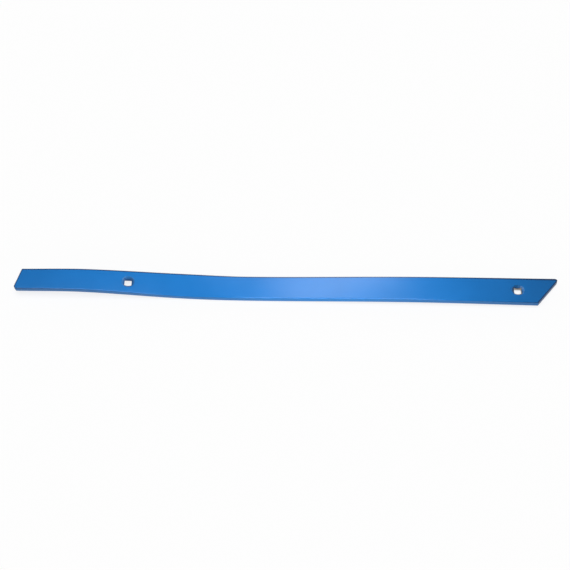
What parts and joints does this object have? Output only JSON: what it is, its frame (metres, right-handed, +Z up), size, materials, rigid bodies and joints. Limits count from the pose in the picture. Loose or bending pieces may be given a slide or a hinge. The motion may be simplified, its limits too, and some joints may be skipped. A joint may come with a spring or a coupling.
{
  "type": "mouldboard strip",
  "caption": "Long bowed and twisted steel strip of a slatted plough mouldboard, with slanted cut ends and square countersunk holes for plough bolts.",
  "frame": {"origin": "middle of the underside of the strip's box, on the floor that the strip lies on face up", "axes": "+X from the tail to the pointed front end, +Y across to the far edge, +Z up, out of the working face"},
  "size_m": [0.9762, 0.0576, 0.028],
  "materials": {
    "blue_enamel": "smooth semi-gloss blue enamel over rolled steel"
  },
  "bodies": {
    "root": {"mouldboard_strip": "blue_enamel"}
  },
  "joints": []
}
